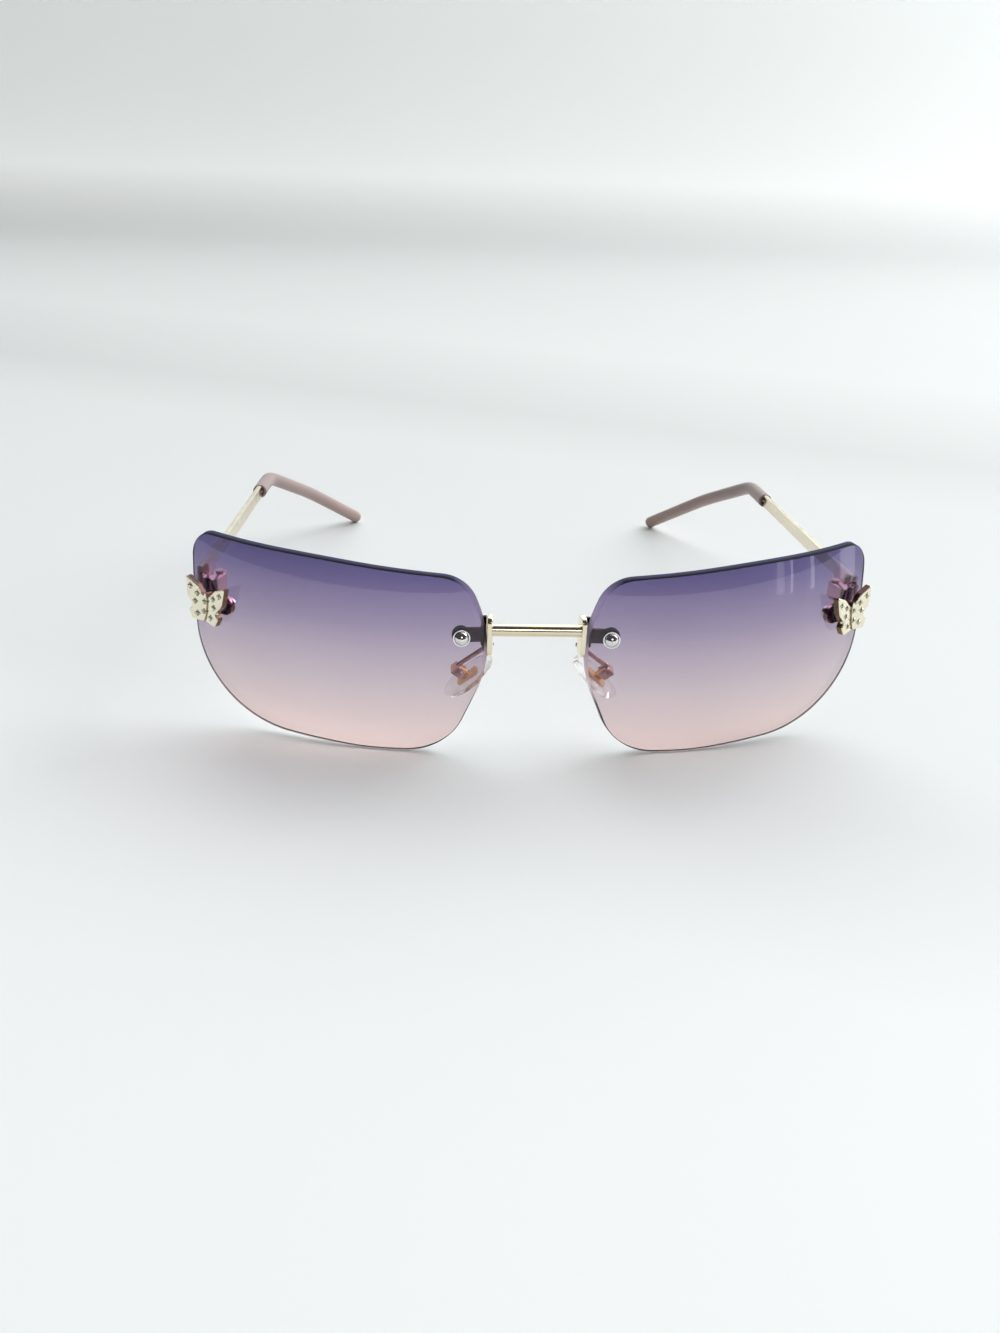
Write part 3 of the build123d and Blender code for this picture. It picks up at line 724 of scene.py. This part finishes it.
# Low strip lamps beside and in front of the left lens, mirrored in it as upright streaks, in
# metres and watts: where they stand, their height, and the Y, width and power of each
STRIP_X = 0.30
STRIP_Z = 0.068
STRIP_HEIGHT = 0.12
STRIPS = (
    (-0.240, 0.020, 0.010),
    (-0.212, 0.006, 0.006),
    (-0.165, 0.008, 0.007),
    (-0.092, 0.030, 0.016),
)

# The room: the way to its bright side, the strength of its light, and its tones from the side
# away from it round to the bright side itself
BRIGHT_WAY = (0.35, 0.85, 0.39)
ROOM_STRENGTH = 2.4
ROOM_TONES = (
    (0.0, (0.02, 0.018, 0.016)),
    (0.70, (0.03, 0.028, 0.026)),
    (0.78, (0.40, 0.40, 0.40)),
    (0.84, (1.0, 1.0, 1.0)),
    (1.0, (0.97, 1.0, 1.0)),
)


def area_light(name, place, target, size, watts, colour):
    """A soft rectangular lamp that looks at a target."""
    lamp = bpy.data.lights.new(name, "AREA")
    lamp.shape = "RECTANGLE"
    lamp.size, lamp.size_y = size
    lamp.energy = watts
    lamp.color = colour
    holder = placed(name, lamp)
    holder.location = place
    direction = Vector(target) - Vector(place)
    holder.rotation_euler = direction.to_track_quat("-Z", "Y").to_euler()
    holder.visible_camera = False


def soft_room():
    """World light: bright behind and to the right, dark in front of and above the glasses."""
    world = bpy.data.worlds.new("soft_room")
    world.use_nodes = True
    bpy.context.scene.world = world
    tree = world.node_tree
    background = tree.nodes["Background"]
    direction = tree.nodes.new("ShaderNodeTexCoord").outputs["Generated"]
    same_way = vector_math(tree, "DOT_PRODUCT", direction, BRIGHT_WAY)["Value"]
    tone = ramp(tree, mapped(tree, same_way, -1.0, 1.0), ROOM_TONES)
    seen = tree.nodes.new("ShaderNodeLightPath").outputs["Is Camera Ray"]
    tree.links.new(mixed(tree, seen, tone, BACKDROP_TONE), background.inputs["Color"])
    strength = mapped(tree, seen, 0.0, 1.0, ROOM_STRENGTH, 1.0)
    tree.links.new(strength, background.inputs["Strength"])


area_light(
    "window",
    place=(1.6, 0.6, 1.2),
    target=(0, 0, 0),
    size=(1.5, 1.25),
    watts=22.0,
    colour=(0.985, 1.0, 1.0),
)
area_light(
    "low_front",
    place=(0.1, -1.6, 0.9),
    target=(0, 0, 0.05),
    size=(0.5, 0.3),
    watts=2.8,
    colour=(1.0, 0.985, 0.97),
)
for row, (strip_y, width, watts) in enumerate(STRIPS):
    area_light(
        f"strip_{row}",
        place=(STRIP_X, strip_y, STRIP_Z),
        target=(0, strip_y, STRIP_Z),
        size=(width, STRIP_HEIGHT),
        watts=watts,
        colour=(1, 1, 1),
    )
soft_room()


# Camera, fitted to the photograph: metres and radians in the row frame, and pixels

CAMERA_PLACE = (-0.017089, -0.262373, 0.119456)
CAMERA_YAW = 0.05202
CAMERA_PITCH = 0.47661
CAMERA_ROLL = -0.03545
FOCAL_PIXELS = 1050
PHOTO_HEIGHT_PIXELS = 1333
SENSOR_MM = 36.0
NEAR_CLIP = 0.01
FAR_CLIP = 20


def photo_camera():
    """The camera at the photograph's place and angle."""
    ahead = Vector(
        (
            sin(CAMERA_YAW) * cos(CAMERA_PITCH),
            cos(CAMERA_YAW) * cos(CAMERA_PITCH),
            -sin(CAMERA_PITCH),
        )
    )
    level = Vector((cos(CAMERA_YAW), -sin(CAMERA_YAW), 0))
    down = ahead.cross(level)
    right = level * cos(CAMERA_ROLL) + down * sin(CAMERA_ROLL)
    up = level * sin(CAMERA_ROLL) - down * cos(CAMERA_ROLL)
    data = bpy.data.cameras.new("photo_camera")
    data.sensor_fit = "VERTICAL"
    data.sensor_height = SENSOR_MM
    data.lens = FOCAL_PIXELS / PHOTO_HEIGHT_PIXELS * SENSOR_MM
    data.clip_start = NEAR_CLIP
    data.clip_end = FAR_CLIP
    camera = placed("photo_camera", data)
    turn = Matrix((right, up, -ahead)).transposed().to_4x4()
    camera.matrix_world = Matrix.Translation(CAMERA_PLACE) @ turn
    bpy.context.scene.camera = camera


photo_camera()
bpy.context.scene.view_settings.view_transform = "Standard"

bpy.context.view_layer.update()
